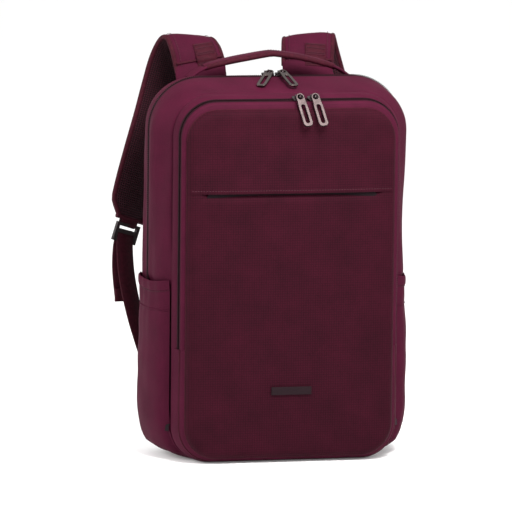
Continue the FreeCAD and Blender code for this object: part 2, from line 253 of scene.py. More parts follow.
# painted light: the gussets, pockets, straps and handle get a lighter copy of the panel's wine, standing in
# for the light the sides catch; the plainer weave is real
litSideCloth = wovenPolyester("woven polyester, plain, lit copy", dict(
    wine, deep="#1b050e", lit="#451026", roughness=0.7, gridPitch=1.9 * mm, gridWidth=0.2, gridShade=0.16,
    threadPitch=1.2 * mm, bump=0.35, sheen=0.05))
liningCloth = wovenPolyester("polyester lining", dict(
    deep="#0b0709", lit="#1d1418", sheenTint="#6a5a60", roughness=0.6, gridPitch=3.0 * mm, gridWidth=0.2,
    gridShade=0.1, threadPitch=1.2 * mm, bump=0.3, sheen=0.1))
meshCloth = spacerMesh("knitted spacer mesh", dict(
    deep="#0a0305", lit="#3c111f", pitch=5.2 * mm, source="UV"))
padMesh = spacerMesh("knitted spacer mesh, pads", dict(
    deep="#0a0305", lit="#3a1120", pitch=5.2 * mm, source="Object"))
tapeCloth = wovenTape("woven binding tape", dict(deep="#15040a", lit="#3e0f1c", ribPitch=1.5 * mm))
zipTape = wovenTape("woven zip tape", dict(deep="#0c0306", lit="#270c15", ribPitch=1.2 * mm))
nylonCoil = mouldedPlastic("nylon zip coil", dict(
    deep="#0b0305", lit="#1b070d", roughness=0.7, specular=0.08))
threadStuff = mouldedPlastic("polyester sewing thread", dict(
    deep="#220810", lit="#471828", roughness=0.7, specular=0.2))
# the same nickel plate twice, as shaded and lit copies: the front pulls' copy is made darker, painted shade
# against the bright reflections they catch, and the main pulls keep the lighter copy
nickel = castMetal("nickel-plated zinc", dict(deep="#1f1a1a", lit="#373030", roughness=0.26))
litNickel = castMetal("nickel-plated zinc, lit copy", dict(deep="#342b2a", lit="#625552", roughness=0.26))
gunmetal = castMetal("black-nickel-plated zinc", dict(deep="#201a1c", lit="#57494c", roughness=0.32))
acetal = mouldedPlastic("moulded acetal", dict(deep="#0b0406", lit="#1a0a0f", roughness=0.5, specular=0.35))
softBadge = mouldedPlastic("soft moulded badge", dict(
    deep="#0d0508", lit="#1b0b11", roughness=0.7, specular=0.1))
sheetPlastic = mouldedPlastic("extruded polyethylene", dict(
    deep="#0e0e10", lit="#1c1c1f", roughness=0.5, specular=0.4))
print("materials ready")


def settle(piece):
    # make the modifiers' result the piece's own mesh
    if piece.modifiers:
        graph = bpy.context.evaluated_depsgraph_get()
        done = bpy.data.meshes.new_from_object(piece.evaluated_get(graph))
        piece.modifiers.clear()
        piece.data = done


def makePiece(name, verts, faces, mats, body, uvs=None, faceMats=None, wall=0.0, lining=False):
    mesh = bpy.data.meshes.new(name)
    mesh.from_pydata([tuple(v) for v in verts], [], faces)
    if uvs:
        layer = mesh.uv_layers.new(name="cloth")
        for loop in mesh.loops:
            layer.data[loop.index].uv = uvs[loop.vertex_index]
    for mat in mats + [liningCloth] * lining:
        mesh.materials.append(mat)
    for polygon in mesh.polygons:
        polygon.use_smooth = True
        polygon.material_index = faceMats[polygon.index] if faceMats else 0
    piece = bpy.data.objects.new(name, mesh)
    scene.collection.objects.link(piece)
    if wall:
        skin = piece.modifiers.new("wall", "SOLIDIFY")
        skin.thickness = wall
        skin.offset = -1.0
        skin.material_offset = int(lining)
    settle(piece)
    piece.data.set_sharp_from_angle(angle=math.radians(52.0))
    if body:
        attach(piece, body)
    return piece


def gridFaces(columns, rows, flip=False, closed=False):
    faces = []
    for j in range(rows - 1):
        for i in range(columns if closed else columns - 1):
            k = (i + 1) % columns
            quad = (j * columns + i, j * columns + k, (j + 1) * columns + k, (j + 1) * columns + i)
            faces.append(quad[::-1] if flip else quad)
    return faces


def endFaces(count, rings):
    # caps over the first and the last ring of a closed profile
    return [tuple(range(count))[::-1], tuple((rings - 1) * count + k for k in range(count))]


def sheet(name, columns, rows, spot, body, mat, wall, flip=False, lining=False):
    # cloth cut flat: spot gives the place and the UV for each column and row
    spots = [spot(u, v) for v in rows for u in columns]
    faces = gridFaces(len(columns), len(rows), flip)
    return makePiece(name, [a for a, b in spots], faces, [mat], body, [b for a, b in spots], wall=wall,
                     lining=lining)


# The bag's outlines, front to back: y, half width, lowest, highest, top corner radius, bottom radius.
rimOutline = (lowest("rim_gusset", 1), highest("front_panel_upper", 0), lowest("front_panel_base", 2),
              highest("front_panel_upper", 2), 0.035, 0.036)
zipOutline = (highest("rim_gusset", 1), highest("rim_gusset", 0), 0.003, highest("rim_gusset", 2),
              0.040, 0.038)
pleatOutline = (highest("front_gusset", 1), 0.129, 0.0, highest("front_gusset", 2), 0.045, 0.040)
swellOutline = (-0.014, 0.1445, 0.0, 0.4205, 0.054, 0.044)
mainOutline = (0.012, 0.146, 0.0, 0.427, 0.058, 0.046)
rearOutline = (0.040, 0.145, 0.0, 0.425, 0.058, 0.050)
seamOutline = (highest("rear_gusset", 1), 0.134, 0.008, 0.419, 0.050, 0.050)
backOutline = (highest("back_panel", 1), 0.127, 0.014, 0.413, 0.046, 0.046)
hingeZ = 0.129           # the front section folds down about this height
hemZ = 0.204
slitZ = lowest("front_panel_upper", 2)


sides = ((-1, "Left"), (1, "Right"))


def between(a, b, t):
    return tuple(p + (q - p) * t for p, q in zip(a, b))


def atDepth(a, b, y):
    return between(a, b, (y - a[0]) / (b[0] - a[0]))


def drawnIn(outline, t):
    y, half, low, high, topR, lowR = outline
    return (y, half - t, low + t, high - t, max(topR - t, 0.003), max(lowR - t, 0.003))


def arcPoints(cx, cz, r, start, end, count):
    points = []
    for i in range(count):
        a = math.radians(start + (end - start) * i / count)
        points.append((cx + r * math.cos(a), cz + r * math.sin(a), math.cos(a), math.sin(a)))
    return points


def ringPoints(outline, part, cut=0.0, sideCount=40):
    # points of an outline with their outward normals: upper arch, lower tub or the full loop
    arcCount, flatCount = 14, 34
    y, half, low, high, topR, lowR = outline
    ring = []
    if part in ("upper", "full"):
        start = cut if part == "upper" else low + lowR
        run = high - topR - start
        ring += [(-half, start + run * i / sideCount, -1.0, 0.0) for i in range(sideCount)]
        ring += arcPoints(-half + topR, high - topR, topR, 180, 90, arcCount)
        top = 2.0 * (half - topR)
        ring += [(-half + topR + top * i / flatCount, high, 0.0, 1.0) for i in range(flatCount)]
        ring += arcPoints(half - topR, high - topR, topR, 90, 0, arcCount)
        ring += [(half, high - topR - run * i / sideCount, 1.0, 0.0) for i in range(sideCount)]
    if part == "upper":
        ring.append((half, cut, 1.0, 0.0))
    if part == "lower":
        run = cut - low - lowR
        ring += [(-half, cut - run * i / sideCount, -1.0, 0.0) for i in range(sideCount)]
        ring += arcPoints(-half + lowR, low + lowR, lowR, 180, 270, arcCount)
        flat = 2.0 * (half - lowR)
        ring += [(-half + lowR + flat * i / flatCount, low, 0.0, -1.0) for i in range(flatCount)]
        ring += arcPoints(half - lowR, low + lowR, lowR, -90, 0, arcCount)
        ring += [(half, low + lowR + run * i / sideCount, 1.0, 0.0) for i in range(sideCount + 1)]
    if part == "full":
        ring += arcPoints(half - lowR, low + lowR, lowR, 0, -90, arcCount)
        flat = 2.0 * (half - lowR)
        ring += [(half - lowR - flat * i / flatCount, low, 0.0, -1.0) for i in range(flatCount)]
        ring += arcPoints(-half + lowR, low + lowR, lowR, -90, -180, arcCount)
    return ring


def spread(keys, t):
    # outline at t along a band, rounded smoothly through its key outlines
    reach = [k[0] for k in keys]
    y = reach[0] + (reach[-1] - reach[0]) * t
    i = 0
    while i < len(keys) - 2 and y > reach[i + 1]:
        i += 1
    return atDepth(keys[i], keys[i + 1], y)


def band(name, keys, part, cut, steps, body, mat=litSideCloth, pillow=0.0, rough=0.0, wall=1.8 * mm, shape=None,
         sideCount=40):
    # cloth carried through its key outlines from front to back
    verts, uvs = [], []
    columns = len(ringPoints(keys[0], part, cut, sideCount))
    for t in steps:
        outline = spread(keys, t)
        length = 0.0
        last = None
        for x, z, nx, nz in ringPoints(outline, part, cut, sideCount):
            if last:
                length += math.hypot(x - last[0], z - last[1])
            last = (x, z)
            out = pillow * 4.0 * t * (1.0 - t)
            out += wobble((x, outline[0], z), 0.045, rough) * min(1.0, 6.0 * t * (1.0 - t))
            if shape:
                out += shape(x, outline[0], z, t)
            verts.append((x + nx * out, outline[0], z + nz * out))
            uvs.append((length, outline[0] - keys[0][0]))
    faces = gridFaces(columns, len(steps), part == "lower", part == "full")
    return makePiece(name, verts, faces, [mat], body, uvs, wall=wall, lining=wall > 1.0 * mm)


def tube(name, path, radius, body, mat=tapeCloth, closed=False, sides=8):
    path = [Vector(p) for p in path]
    count = len(path)
    verts, uvs = [], []
    side = None
    length = 0.0
    for i, p in enumerate(path):
        ahead = path[(i + 1) % count] if closed else path[min(i + 1, count - 1)]
        behind = path[i - 1] if closed else path[max(i - 1, 0)]
        run = (ahead - behind).normalized()
        side = run.orthogonal() if side is None else side - run * side.dot(run)
        side.normalize()
        up = run.cross(side)
        length += (p - path[i - 1]).length if i else 0.0
        for k in range(sides):
            a = 2.0 * math.pi * k / sides
            verts.append(p + side * (radius * math.cos(a)) + up * (radius * math.sin(a)))
            uvs.append((length, radius * a))
    faces = gridFaces(sides, count, closed=True)
    if closed:
        last = (count - 1) * sides
        faces += [(last + k, last + (k + 1) % sides, (k + 1) % sides, k) for k in range(sides)]
    else:
        faces += endFaces(sides, count)
    return makePiece(name, verts, faces, [mat], body, uvs)


def alongPath(path):
    path = [Vector(p) for p in path]
    return [(b - a).normalized() for a, b in zip(path[:1] + path[:-1], path[1:] + path[-1:])]


def strip(name, path, across, profile, body, mats, profileMats=None, swell=None):
    # a strap: the closed profile (width, height pairs) is carried along the path
    path = [Vector(p) for p in path]
    around = len(profile)
    verts, uvs = [], []
    length = 0.0
    for i, (p, along) in enumerate(zip(path, alongPath(path))):
        if i:
            length += (p - path[i - 1]).length
        wide = Vector(across[i])
        wide = (wide - along * wide.dot(along)).normalized()
        out = along.cross(wide).normalized()
        scaleW, scaleH, lift = swell(i / (len(path) - 1)) if swell else (1.0, 1.0, 0.0)
        for a, b in profile:
            verts.append(p + wide * (a * scaleW) + out * (b * scaleH + lift))
            uvs.append((length, a))
    faces = gridFaces(around, len(path), closed=True) + endFaces(around, len(path))
    faceMats = (profileMats or [0] * around) * (len(path) - 1) + [0, 0]
    return makePiece(name, verts, faces, mats, body, uvs, faceMats)


def padProfile(width, height, power=0.5, count=32, edge=0.42):
    # flattened oval: full in the middle, thinner at the bound edges
    profile = []
    for k in range(count):
        a = 2.0 * math.pi * k / count
        c, s = math.cos(a), math.sin(a)
        x = math.copysign(abs(c) ** power, c)
        thick = edge + (1.0 - edge) * (1.0 - abs(x) ** 3)
        profile.append((0.5 * width * x, 0.5 * height * math.copysign(abs(s) ** 0.6, s) * thick))
    return profile


def tapeProfile(width, height):
    h, w, c = height / 2.0, width / 2.0, height * 0.3
    return [(-w, -h + c), (-w + c, -h), (0.0, -h), (w - c, -h), (w, -h + c), (w, h - c), (w - c, h), (0.0, h),
            (-w + c, h), (-w, h - c)]


def walk(path, pitch, due):
    # evenly spaced places along a path, each with the direction of the run it lies on
    travelled = 0.0
    for a, b in zip(path[:-1], path[1:]):
        run = Vector(b) - Vector(a)
        size = run.length
        run.normalize()
        while size > 1e-7 and due <= travelled + size:
            yield Vector(a) + run * (due - travelled), run
            due += pitch
        travelled += size


def stitchRun(name, path, body, pitch=3.2 * mm, length=2.3 * mm, thick=0.38 * mm):
    # a row of lockstitches: short rounded threads with gaps, lying along the path
    verts, faces = [], []
    for middle, run in walk(path, pitch, pitch / 2.0):
        side = run.orthogonal().normalized()
        up = run.cross(side)
        base = len(verts)
        for along, r in ((-0.5, 0.35), (-0.3, 1.0), (0.3, 1.0), (0.5, 0.35)):
            for k in range(5):
                turn = 2.0 * math.pi * k / 5.0
                offset = (side * math.cos(turn) + up * math.sin(turn)) * (thick * r)
                verts.append(middle + run * (along * length) + offset)
        faces += [tuple(base + k for k in face) for face in gridFaces(5, 4, closed=True) + endFaces(5, 4)]
    return makePiece(name, verts, faces, [threadStuff], body)


def foldLow(piece):
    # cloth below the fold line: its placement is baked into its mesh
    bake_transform(piece)
    return piece


def foldHigh(piece):
    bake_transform(piece)
    return piece


# Front panel
panel = {
    "roll": 9.0 * mm,        # width over which the padded edge turns back to the rim
    "rise": 8.3 * mm,
    "crown": 3.2 * mm,
    "slitOpen": 1.5 * mm,    # how far the upper piece stands off the lower one
    "slitFrom": 16.0 * mm,   # the slit is sewn shut for this far at each side
    "foam": 2.6 * mm,
}


def edgeDistance(x, z, outline):
    # how far inside the rounded rectangle a point is
    y, half, low, high, topR, lowR = outline
    r = topR if z > 0.5 * (low + high) else lowR
    dx = abs(x) - (half - r)
    dz = z - (high - r) if z > 0.5 * (low + high) else (low + r) - z
    if dx > 0.0 and dz > 0.0:
        return r - math.hypot(dx, dz)
    return r - max(dx, dz)


def panelDepth(x, z):
    d = max(0.0, edgeDistance(x, z, rimOutline))
    e = min(d / panel["roll"], 1.0)
    y = rimOutline[0] - panel["rise"] * math.sqrt(max(0.0, 1.0 - (1.0 - e) ** 2))
    y -= panel["crown"] * ease(d / 0.085)
    y += wobble((x, 0.0, z), 0.07, 0.5 * mm) * min(1.0, d / 0.02)
    return y


def halfWidthAt(z, outline):
    y, half, low, high, topR, lowR = outline
    if z > high - topR:
        rise = z - (high - topR)
        return half - topR + math.sqrt(max(0.0, topR ** 2 - rise ** 2))
    if z < low + lowR:
        drop = (low + lowR) - z
        return half - lowR + math.sqrt(max(0.0, lowR ** 2 - drop ** 2))
    return half


def fineSteps(start, end, edgeAtStart, edgeAtEnd, step):
    near = [0.0, 0.35 * mm, 1.0 * mm, 2.0 * mm, 3.4 * mm, 5.2 * mm, 7.4 * mm, 10.0 * mm]
    left = near if edgeAtStart else [0.0]
    right = near if edgeAtEnd else [0.0]
    inner = (end - right[-1]) - (start + left[-1])
    count = max(2, int(inner / step))
    middle = [start + left[-1] + inner * i / count for i in range(1, count)]
    return [start + s for s in left] + middle + [end - s for s in reversed(right)]


def wideSheet(name, outline, rows, step, body, mat, wall, depth, flip=False):
    # a sheet as wide as its outline: its columns crowd towards both edges, where it turns over
    widest, margin = outline[1], 0.02

    def spot(share, z):
        half = halfWidthAt(z, outline)
        edge = widest - abs(share)
        x = share * (half - margin) / (widest - margin)
        if edge < margin:
            x = math.copysign(half - edge, share)
        return (x, depth(x, z), z), (x, z)

    shares = fineSteps(-widest, widest, True, True, step)
    return sheet(name, shares, rows, spot, body, mat, wall, flip, True)


def panelPiece(name, zFrom, zTo, body, lowEdge, highEdge, extra=None):
    rows = fineSteps(zFrom, zTo, lowEdge, highEdge, 5.0 * mm)
    return wideSheet(name, rimOutline, rows, 5.0 * mm, body, panelCloth, panel["foam"],
                     lambda x, z: panelDepth(x, z) + (extra(x, z) if extra else 0.0))


def slitShare(x):
    # 0 where the slit is sewn shut at the sides, 1 where it is open
    return ease((0.119 - panel["slitFrom"] - abs(x)) / 0.010)


def upperLip(x, z):
    near = ease(1.0 - (z - slitZ) / 0.022)
    return -panel["slitOpen"] * near * slitShare(x)


def lowerTuck(x, z):
    near = ease((z - (slitZ - 0.0042)) / 0.0034)
    return 5.5 * mm * near * (0.12 + 0.88 * slitShare(x))


upperPanel = panelPiece("frontPanelUpper", slitZ, rimOutline[3], "front_flap", False, True, upperLip)
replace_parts(upperPanel, "front_panel_upper")
lowerPanel = panelPiece("frontPanelLower", hingeZ, slitZ + 0.004, None, False, False, lowerTuck)
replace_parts(foldHigh(lowerPanel), "front_panel_lower")
basePanel = panelPiece("frontPanelBase", rimOutline[2], hingeZ, None, True, False)
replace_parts(foldLow(basePanel), "front_panel_base")


# the facing behind the lip of the slip pocket is held by one fine row of stitches
lipZ = slitZ + 3.4 * mm
lipHalf = halfWidthAt(slitZ, rimOutline) - 4.0 * mm
lipPath = [(x, panelDepth(x, lipZ) + upperLip(x, lipZ) + 0.05 * mm, lipZ)
           for x in evenly(81, -lipHalf, lipHalf)]
stitchRun("slipPocketStitches", lipPath, "front_flap", thick=0.3 * mm)


def ringPath(outline, part, out, cut=0.0, back=0.0):
    return [(x + nx * out, outline[0] + back, z + nz * out)
            for x, z, nx, nz in ringPoints(outline, part, cut)]


piping = {"radius": 1.1 * mm, "sit": -0.5 * mm}
for part, fold in (("upper", foldHigh), ("lower", foldLow)):
    path = ringPath(rimOutline, part, piping["sit"], hingeZ, -0.3 * mm)
    fold(tube("frontPiping" + part.title(), path, piping["radius"], None))
print("front panel ready")


# Front rim, both zips and the gussets between them
tooth = {"pitch": 2.2 * mm, "long": 2.3 * mm, "thick": 0.75 * mm, "lift": 0.25 * mm}
zipSlot = 2.0 * mm
rowDeep = 2.6 * mm


def zipTeeth(name, outline, towards, cut, body, fold=None):
    # one row of coil: each turn is a small rounded bar across the tape, slanting a little along it
    ring = ringPath(outline, "upper", tooth["lift"], cut)
    centre = Vector((0.0, outline[0], 0.22))
    verts, faces = [], []
    for foot, run in walk(ring, tooth["pitch"], 0.0):
        away = Vector((-run.z, 0.0, run.x))
        if away.dot(foot - centre) < 0.0:
            away = -away
        base = len(verts)
        for share, lift, half in ((0.0, 0.0, 0.8), (0.2, 0.55, 1.0), (0.7, 0.75, 1.0), (1.0, 0.2, 0.7)):
            mid = foot + away * (lift * 0.9 * mm) + run * (share * 0.5 * mm)
            mid.y += towards * tooth["long"] * (share - 0.15)
            wide = run * (0.5 * tooth["thick"] * half)
            deep = away * (0.5 * tooth["thick"] * half)
            verts += [mid - wide - deep, mid + wide - deep]
            verts += [mid + wide * 0.7 + deep, mid - wide * 0.7 + deep]
        for face in gridFaces(4, 4, closed=True) + endFaces(4, 4):
            face = tuple(base + k for k in face)
            faces.append(face if towards > 0 else face[::-1])
    piece = makePiece(name, verts, faces, [nylonCoil], body)
    return fold(piece) if fold else piece


def zipRow(name, a, b, cut, body, towards, replaces, fold=None):
    tapeBand = band(name + "Tape", [a, b], "upper", cut, evenly(3), body, zipTape, wall=0.7 * mm)
    if fold:
        fold(tapeBand)
    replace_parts(tapeBand, replaces)
    zipTeeth(name + "Teeth", b if towards > 0 else a, towards, cut, body, fold)


frontRowEnd = atDepth(zipOutline, pleatOutline, zipOutline[0] + rowDeep)
rearRowStart = atDepth(zipOutline, pleatOutline, zipOutline[0] + rowDeep + zipSlot)
rearRowEnd = atDepth(zipOutline, pleatOutline, zipOutline[0] + 2.0 * rowDeep + zipSlot)
flapLow = hingeZ + 1.0 * mm


def rimShape(x, y, z, t):
    # the rim sinks into a groove where it meets the panel and again where it meets the zip
    return -3.4 * mm * (1.0 - ease(t / 0.3)) - 0.8 * mm * (1.0 - ease((1.0 - t) / 0.2))


rimRows = [0.0, 0.06, 0.12, 0.2, 0.3, 0.42, 0.56, 0.7, 0.82, 0.92, 1.0]
rimBand = band("rimGusset", [rimOutline, zipOutline], "upper", hingeZ, rimRows, None, pillow=2.2 * mm,
               rough=0.3 * mm, shape=rimShape)
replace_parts(foldHigh(rimBand), "rim_gusset")
zipRow("frontZipFront", zipOutline, frontRowEnd, hingeZ, None, 1, "front_zip_front_tape", foldHigh)
zipRow("frontZipRear", rearRowStart, rearRowEnd, flapLow, "front_section", -1, "front_zip_rear_tape")
pleat = {"dip": 5.0 * mm, "fadeFrom": 0.225, "fadeTo": 0.27}


def pleatShare(z):
    # the crease is deep along the top and sides and fades out above the pockets
    return ease((z - pleat["fadeFrom"]) / (pleat["fadeTo"] - pleat["fadeFrom"]))


def frontShape(x, y, z, t):
    return -pleat["dip"] * (1.0 - ease((1.0 - t) / 0.22)) * pleatShare(z)


frontRows = evenly(11, 0.0, 10.0 / 14.0) + [0.78, 0.83, 0.88, 0.92, 0.95, 0.975, 1.0]
frontBand = band("frontGusset", [rearRowEnd, pleatOutline], "upper", hingeZ, frontRows, "front_section",
                 pillow=1.8 * mm, rough=0.6 * mm, shape=frontShape)
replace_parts(frontBand, "front_gusset")
print("front gussets ready")


# Lower gusset: one U of cloth below the fold line, from the front rim round to the pleat
pleatInset = atDepth(pleatOutline, swellOutline, pleatOutline[0] + 1.0 * mm)
foldLow(band("lowerRim", [rimOutline, zipOutline], "lower", hingeZ, evenly(9), None, pillow=1.3 * mm,
             rough=0.5 * mm))
lowerBand = band("lowerGusset", [zipOutline, pleatOutline], "lower", hingeZ, evenly(15), None, pillow=1.8 * mm,
                 rough=0.5 * mm)
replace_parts(foldLow(lowerBand), "lower_gusset_left", "lower_gusset_right")
foldLow(tube("lowerGussetSeam", ringPath(zipOutline, "lower", 0.3 * mm, hingeZ), 0.9 * mm, None))


# Main gusset: the deep side of the bag between the pleat and the main zip
mainRowStart = atDepth(swellOutline, mainOutline, mainOutline[0] - 0.5 * zipSlot - rowDeep)
mainRowEnd = atDepth(swellOutline, mainOutline, mainOutline[0] - 0.5 * zipSlot)
backRowStart = atDepth(mainOutline, rearOutline, mainOutline[0] + 0.5 * zipSlot)
backRowEnd = atDepth(mainOutline, rearOutline, mainOutline[0] + 0.5 * zipSlot + rowDeep)
gusset = {"low": 192.0 * mm, "tuckTop": 208.0 * mm, "tuck": 4.0 * mm, "rough": 1.6 * mm}


def smoothKeys(keys, steps=5):
    dense = []
    for i in range(len(keys) - 1):
        before, after = keys[max(i - 1, 0)], keys[min(i + 2, len(keys) - 1)]
        for k in range(steps):
            fours = zip(before, keys[i], keys[i + 1], after)
            dense.append(tuple(blendFour(*four, k / steps) for four in fours))
    dense.append(keys[-1])
    return dense


def mainShape(x, y, z, t):
    # drawn in behind the pockets at the foot, dimpled along the pleat, and a little slack in the middle
    out = -gusset["tuck"] * ease((gusset["tuckTop"] - z) / (gusset["tuckTop"] - gusset["low"]))
    out -= pleat["dip"] * (1.0 - ease(t / 0.07)) * pleatShare(z)
    side = 1.0 - ease((z - 0.36) / 0.04)
    out += side * 1.6 * mm * math.sin(6.0 * y / 0.05 + 24.0 * z) * ease(t / 0.3) * ease((1.0 - t) / 0.3)
    return out


mainKeys = smoothKeys([pleatOutline, swellOutline, mainRowStart])
mainRows = [0.0, 0.008, 0.016, 0.026, 0.038, 0.055, 0.08] + evenly(25, 0.11, 1.0)
mainBand = band("mainGusset", mainKeys, "upper", gusset["low"], mainRows, None, rough=gusset["rough"],
                shape=mainShape, sideCount=52)
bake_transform(mainBand)
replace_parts(mainBand, "main_gusset")
pleatLine = []
for x, z, nx, nz in ringPoints(pleatOutline, "upper", hingeZ):
    out = -0.6 * mm - pleat["dip"] * pleatShare(z)
    pleatLine.append((x + nx * out, pleatOutline[0], z + nz * out))
tube("pleatSeam", pleatLine, 0.8 * mm, "front_section")
zipLow = gusset["low"] + 6.0 * mm
zipRow("mainZipFront", mainRowStart, mainRowEnd, zipLow, "front_section", 1, "main_zip_front_tape")
zipRow("mainZipRear", backRowStart, backRowEnd, zipLow, "pack", -1, "main_zip_rear_tape")


# Rear gusset, base and the walls behind the pockets
def rearShape(x, y, z, t):
    side = (1.0 - ease((z - 0.36) / 0.04)) * ease((z - 0.03) / 0.05)
    return side * 1.1 * mm * math.sin(7.0 * y / 0.05 - 19.0 * z) * ease(t / 0.25) * ease((1.0 - t) / 0.25)


rearKeys = smoothKeys([backRowEnd, rearOutline, seamOutline])
rearBand = band("rearGusset", rearKeys, "full", 0.0, evenly(21), "pack", rough=0.9 * mm, shape=rearShape)
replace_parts(rearBand, "rear_gusset")
tube("rearPiping", ringPath(seamOutline, "full", 0.6 * mm, back=0.5 * mm), 1.6 * mm, "pack",
     closed=True)
baseCut = lowest("lower_side_left", 2)
lowKeys = [pleatInset, swellOutline, mainOutline, backRowEnd]
baseBand = band("basePanel", smoothKeys(lowKeys), "lower", baseCut, evenly(25), "pack", rough=0.5 * mm)
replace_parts(baseBand, "base_panel")
sideKeys = [drawnIn(outline, 6.0 * mm) for outline in lowKeys]


def sideWall(sign, word):
    def spot(t, z):
        outline = spread(sideKeys, t)
        return (sign * halfWidthAt(z, outline), outline[0], z), (outline[0], z)

    rows = evenly(21, baseCut - 6.0 * mm, gusset["low"] + 4.0 * mm)
    wall = sheet("lowerSide" + word, evenly(17), rows, spot, "pack", litSideCloth, 1.6 * mm,
                 sign > 0, True)
    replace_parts(wall, "lower_side_" + word.lower())


for sign, word in sides:
    sideWall(sign, word)
print("gussets and base ready")


# Back panel: a crowned sheet of spacer mesh with piped air-channel pads on it
def backDepth(x, z):
    d = max(0.0, edgeDistance(x, z, seamOutline))
    e = min(d / 0.008, 1.0)
    y = seamOutline[0] + (backOutline[0] - seamOutline[0]) * math.sqrt(max(0.0, 1.0 - (1.0 - e) ** 2))
    return y + wobble((x, 0.3, z), 0.06, 0.4 * mm) * min(1.0, d / 0.02) - 0.3 * mm


backRows = fineSteps(seamOutline[2], seamOutline[3], True, True, 6.0 * mm)
backSheet = wideSheet("backPanel", seamOutline, backRows, 6.0 * mm, "pack", meshCloth, 2.0 * mm,
                      backDepth, True)
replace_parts(backSheet, "back_panel")


# Back pads: sewn mesh over foam, swollen by a short cloth simulation and kept within a few millimetres
padSim = {"voxel": 5.0 * mm, "pressure": 4.0, "cap": 5.0 * mm, "frames": 20, "start": 1.5 * mm}


def roundedLoop(low, high, corner, shrink=0.0, bow=0.0):
    # closed outline in XZ with rounded corners; bow pulls the long sides in between the corners
    x0, x1, z0, z1 = low[0] + shrink, high[0] - shrink, low[2] + shrink, high[2] - shrink
    r = corner - shrink
    points = []
    corners = ((x1 - r, z0 + r, -90), (x1 - r, z1 - r, 0), (x0 + r, z1 - r, 90), (x0 + r, z0 + r, 180))
    for cx, cz, start in corners:
        points += [(x, z) for x, z, nx, nz in arcPoints(cx, cz, r, start, start + 90, 9)]
    dense = []
    for i, (a, b) in enumerate(zip(points, points[1:] + points[:1])):
        gap = math.hypot(b[0] - a[0], b[1] - a[1])
        steps = max(1, round(gap / (6.0 * mm)))
        dense += [between(a, b, k / steps) for k in range(steps)]
    cx, cz = 0.5 * (x0 + x1), 0.5 * (z0 + z1)
    bowed = []
    for x, z in dense:
        alongX = 1.0 - ((x - cx) / (x1 - cx)) ** 2
        alongZ = 1.0 - ((z - cz) / (z1 - cz)) ** 2
        bowed.append((x - math.copysign(bow * max(0.0, alongZ), x - cx) * (abs(x - cx) > 0.9 * (x1 - cx)),
                      z - math.copysign(bow * max(0.0, alongX), z - cz) * (abs(z - cz) > 0.9 * (z1 - cz))))
    return bowed


def swell(pad, floorY):
    voxels = pad.modifiers.new("voxels", "REMESH")
    voxels.mode = "VOXEL"
    voxels.voxel_size = padSim["voxel"]
    voxels.use_smooth_shade = True
    settle(pad)
    home = [v.co.copy() for v in pad.data.vertices]
    cloth = pad.modifiers.new("cloth", "CLOTH")
    cloth.settings.use_pressure = True
    cloth.settings.uniform_pressure_force = padSim["pressure"]
    cloth.settings.effector_weights.gravity = 0.0
    cloth.settings.quality = 6
    for step in range(1, padSim["frames"] + 1):
        scene.frame_set(step)
    settle(pad)
    scene.frame_set(1)
    for vertex, place in zip(pad.data.vertices, home):
        move = vertex.co - place
        if move.length > padSim["cap"]:
            move *= padSim["cap"] / move.length
        vertex.co = place + move
    for vertex in pad.data.vertices:
        vertex.co.y = max(vertex.co.y, floorY)
    pad.modifiers.new("soften", "SUBSURF").levels = 1
    settle(pad)


def backPad(node, name, corner, channels):
    low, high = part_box(node)
    outline = roundedLoop(low, high, corner, padSim["start"] + 1.5 * mm, 1.5 * mm)
    count = len(outline)
    cx, cz = 0.5 * (low[0] + high[0]), 0.5 * (low[2] + high[2])
    proud = high[1] - low[1] - 2.5 * mm
    profile = ((0.0, 0.0), (0.0, 0.3), (1.2 * mm, 0.62), (4.0 * mm, 0.88), (9.0 * mm, 1.0),
               (18.0 * mm, 1.0))
    verts = []
    for drawIn, rise in profile:
        for x, z in outline:
            reach = Vector((x - cx, z - cz))
            away = Vector((min(abs(reach.x), drawIn), min(abs(reach.y), drawIn)))
            verts.append((x - math.copysign(away.x, reach.x), low[1] + proud * rise,
                          z - math.copysign(away.y, reach.y)))
    faces = gridFaces(count, len(profile), True, True)
    faces += [face[::-1] for face in endFaces(count, len(profile))]
    pad = makePiece(name, verts, faces, [padMesh], None)
    swell(pad, low[1] - 0.2 * mm)
    for vertex in pad.data.vertices:
        x, y, z = vertex.co
        for axis, value in channels:
            gap = abs((x if axis == "x" else z) - value)
            vertex.co.y -= 3.5 * mm * math.exp(-(gap / (3.5 * mm)) ** 2) * ease((y - low[1]) / (4.0 * mm))
    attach(pad, "pack")
    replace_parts(pad, node)
    edge = [(x, low[1] + 0.9 * mm, z) for x, z in roundedLoop(low, high, corner, 0.8 * mm, 1.5 * mm)]
    tube(name + "Binding", edge, 1.6 * mm, "pack", closed=True)


backPad("back_pad_left", "backPadLeft", 18.0 * mm, (("z", 0.214), ("z", 0.296)))
backPad("back_pad_right", "backPadRight", 18.0 * mm, (("z", 0.214), ("z", 0.296)))
backPad("lumbar_pad", "lumbarPad", 22.0 * mm, (("x", -0.033), ("x", 0.033)))
print("back ready")


# Side pockets: stretch cloth drawn up by a bound hem
pocket = {
    "plan": [(-130.6 * mm, -36.0 * mm), (-142.0 * mm, -30.0 * mm), (-149.5 * mm, -12.0 * mm),
             (-153.0 * mm, 12.0 * mm), (-152.0 * mm, 34.0 * mm), (-145.6 * mm, 46.0 * mm)],
    "foot": 9.0 * mm, "hem": hemZ, "hemDeep": 11.0 * mm, "seam": 170.0 * mm,
    "gather": 0.45 * mm, "gatherPitch": 15.0 * mm, "dip": 3.0 * mm,
}


